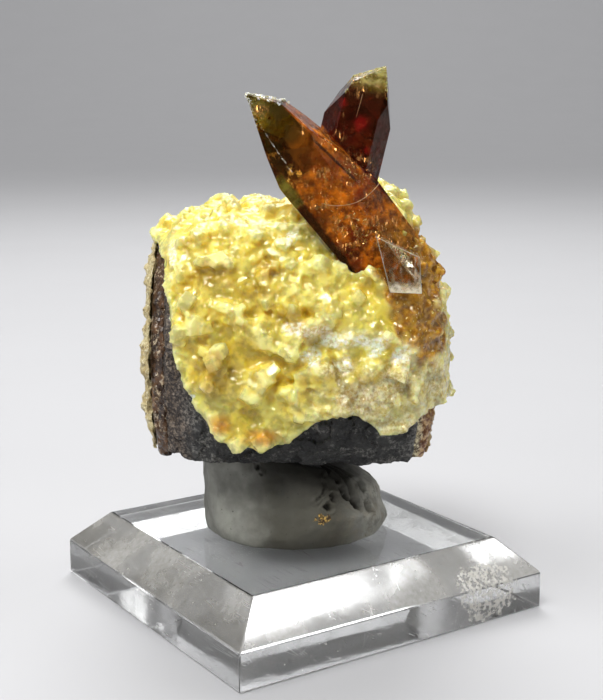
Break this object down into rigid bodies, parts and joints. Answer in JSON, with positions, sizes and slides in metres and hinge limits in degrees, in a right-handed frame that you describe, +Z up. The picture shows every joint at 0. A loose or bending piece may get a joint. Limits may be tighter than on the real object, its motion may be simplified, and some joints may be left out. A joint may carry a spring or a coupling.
{
  "type": "barite on matrix mineral specimen",
  "caption": "Golden barite crystals crossed on yellow calcite over dark mudstone with brown and tan rims, held by a putty lump on a square bevelled clear stand.",
  "frame": {"origin": "centre of the stand's square underside", "axes": "+Z up, away from the surface the stand is on; X and Y along the stand's sides; the specimen's face looks to -X -Y"},
  "size_m": [0.0318, 0.0318, 0.0479],
  "materials": {
    "clear_acrylic": "clear, sawn and scratched",
    "putty": "matt, pressed by hand",
    "mudstone": "broken, with fine glints",
    "brown_calcite": "crystalline",
    "tan_calcite": "knobbly",
    "yellow_calcite": "glossy crystal faces",
    "amber_barite": "clear to translucent, glossy",
    "clear_barite": "clear, glossy"
  },
  "bodies": {
    "root": {"acrylic_base": "clear_acrylic", "mounting_putty": "putty", "matrix_rock": "mudstone", "brown_calcite_vein": "brown_calcite", "tan_rind": "tan_calcite", "yellow_calcite_druse": "yellow_calcite", "barite_crystals": "amber_barite", "clear_barite_crystal": "clear_barite"}
  },
  "joints": []
}
